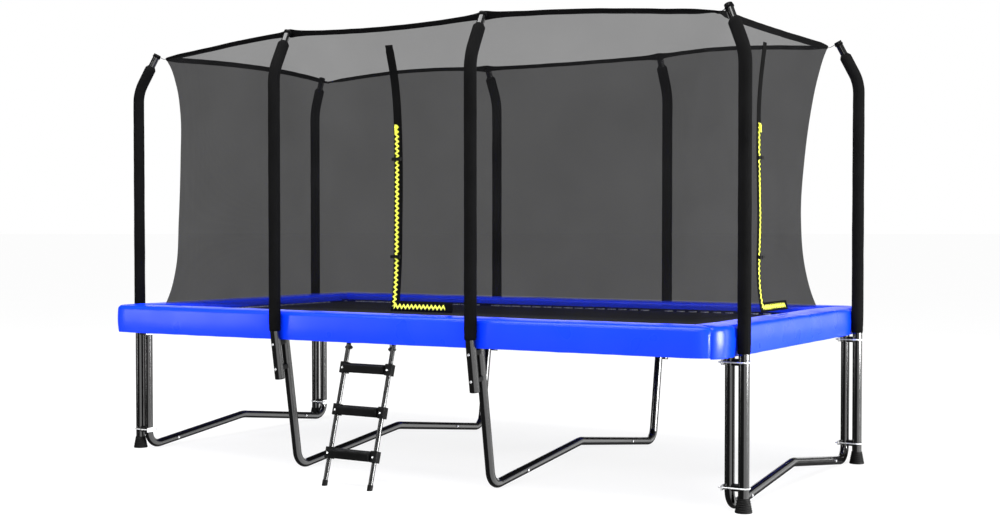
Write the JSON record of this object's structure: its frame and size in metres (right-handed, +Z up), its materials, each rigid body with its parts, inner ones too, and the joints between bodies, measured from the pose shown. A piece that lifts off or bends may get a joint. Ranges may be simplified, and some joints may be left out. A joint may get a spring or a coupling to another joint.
{
  "type": "rectangular trampoline with safety enclosure",
  "caption": "Rectangular garden trampoline on bent-tube legs, with a padded edge, a netted enclosure on curved foam-sleeved poles, zipped doors and a hook-on ladder.",
  "frame": {"origin": "middle of the footprint, on the ground", "axes": "+X along the long side, to the right when facing the ladder; +Y from the ladder side to the back; +Z up"},
  "size_m": [4.543, 2.8432, 2.7521],
  "materials": {
    "frame_paint": "gloss",
    "pole_paint": "gloss",
    "ladder_paint": "gloss",
    "step_plastic": "satin",
    "black_plastic": "satin",
    "rubber": "matte",
    "foam": "matte",
    "sleeve_cloth": "matte",
    "zinc_steel": "satin",
    "spring_steel": "satin",
    "mat_cloth": "matte",
    "pad_vinyl": "satin",
    "net_mesh": "matte",
    "zip_tape": "matte",
    "zip_metal": "satin",
    "buckle_plastic": "satin"
  },
  "bodies": {
    "frame": {"buckle_sockets": "buckle_plastic", "clamp_plates": "zinc_steel", "clamp_spacers": "black_plastic", "clamp_u_bolts": "zinc_steel", "corner_lower_poles": "pole_paint", "corner_rail_back_left": "frame_paint", "corner_rail_back_right": "frame_paint", "corner_rail_front_left": "frame_paint", "corner_rail_front_right": "frame_paint", "corner_rail_sockets": "frame_paint", "end_base_bars": "frame_paint", "frame_bolts": "zinc_steel", "frame_nuts": "zinc_steel", "ladder_hooks": "ladder_paint", "ladder_pivot_bolts": "ladder_paint", "leg_back_left": "frame_paint", "leg_back_right": "frame_paint", "leg_front_left": "frame_paint", "leg_front_right": "frame_paint", "long_rail_back": "frame_paint", "long_rail_front": "frame_paint", "mid_base_bars": "frame_paint", "mid_leg_back_left": "frame_paint", "mid_leg_back_right": "frame_paint", "mid_leg_front_left": "frame_paint", "mid_leg_front_right": "frame_paint", "mid_lower_poles": "pole_paint", "mid_rail_sockets": "frame_paint", "net_back": "net_mesh", "net_front": "net_mesh", "net_left": "net_mesh", "net_right": "net_mesh", "pad_back": "pad_vinyl", "pad_front": "pad_vinyl", "pad_left": "pad_vinyl", "pad_right": "pad_vinyl", "pole_bushes": "black_plastic", "pole_caps": "black_plastic", "pole_end_plugs": "black_plastic", "pole_foam": "foam", "pole_sleeves": "sleeve_cloth", "rubber_feet": "rubber", "short_rails": "frame_paint", "springs": "spring_steel", "upper_poles": "pole_paint", "zip_tapes": "zip_tape"},
    "mat": {"jump_mat": "mat_cloth", "v_rings": "spring_steel"},
    "ladder": {"ladder_rails": "ladder_paint", "ladder_steps": "step_plastic", "ladder_screws": "zinc_steel", "ladder_foot_caps": "rubber"},
    "zip_slider_front": {"zip_slider_front": "zip_metal"},
    "pull_tab_front": {"pull_tab_front": "zip_metal"},
    "zip_slider_side": {"zip_slider_side": "zip_metal"},
    "pull_tab_side": {"pull_tab_side": "zip_metal"},
    "buckle_front_low": {"buckle_plug_front_low": "buckle_plastic"},
    "buckle_front_high": {"buckle_plug_front_high": "buckle_plastic"},
    "buckle_side_low": {"buckle_plug_side_low": "buckle_plastic"},
    "buckle_side_high": {"buckle_plug_side_high": "buckle_plastic"}
  },
  "joints": [
    {"name": "mat_bounce", "type": "slide", "parent": "frame", "child": "mat", "axis": [0, 0, 1], "range_m": [-0.4, 0], "stiffness_N_per_m": 4000, "springref_m": 0.03, "deforming": ["springs"]},
    {"name": "ladder_swing", "type": "hinge", "parent": "frame", "child": "ladder", "pos_m": [-0.024, -1.171, 0.8], "axis": [-1, 0, 0], "range_deg": [0, 50]},
    {"name": "front_zip_slide", "type": "slide", "parent": "frame", "child": "zip_slider_front", "axis": [0, -0.0229, -0.9997], "range_m": [0, 1.01]},
    {"name": "front_pull_tab_flip", "type": "hinge", "parent": "zip_slider_front", "child": "pull_tab_front", "pos_m": [-0.008, -0.9333, 2.12841], "axis": [-1, 0, 0], "range_deg": [0, 165]},
    {"name": "side_zip_slide", "type": "slide", "parent": "frame", "child": "zip_slider_side", "axis": [0.0162, 0, -0.9999], "range_m": [0, 1.01]},
    {"name": "side_pull_tab_flip", "type": "hinge", "parent": "zip_slider_side", "child": "pull_tab_side", "pos_m": [1.93415, 0.089, 2.12829], "axis": [0, -1, 0], "range_deg": [0, 165]},
    {"name": "front_buckle_low_slide", "type": "slide", "parent": "frame", "child": "buckle_front_low", "axis": [-1, 0, 0], "range_m": [0, 0.025]},
    {"name": "front_buckle_high_slide", "type": "slide", "parent": "frame", "child": "buckle_front_high", "axis": [-1, 0, 0], "range_m": [0, 0.025]},
    {"name": "side_buckle_low_slide", "type": "slide", "parent": "frame", "child": "buckle_side_low", "axis": [0, 1, 0], "range_m": [0, 0.025]},
    {"name": "side_buckle_high_slide", "type": "slide", "parent": "frame", "child": "buckle_side_high", "axis": [0, 1, 0], "range_m": [0, 0.025]}
  ]
}
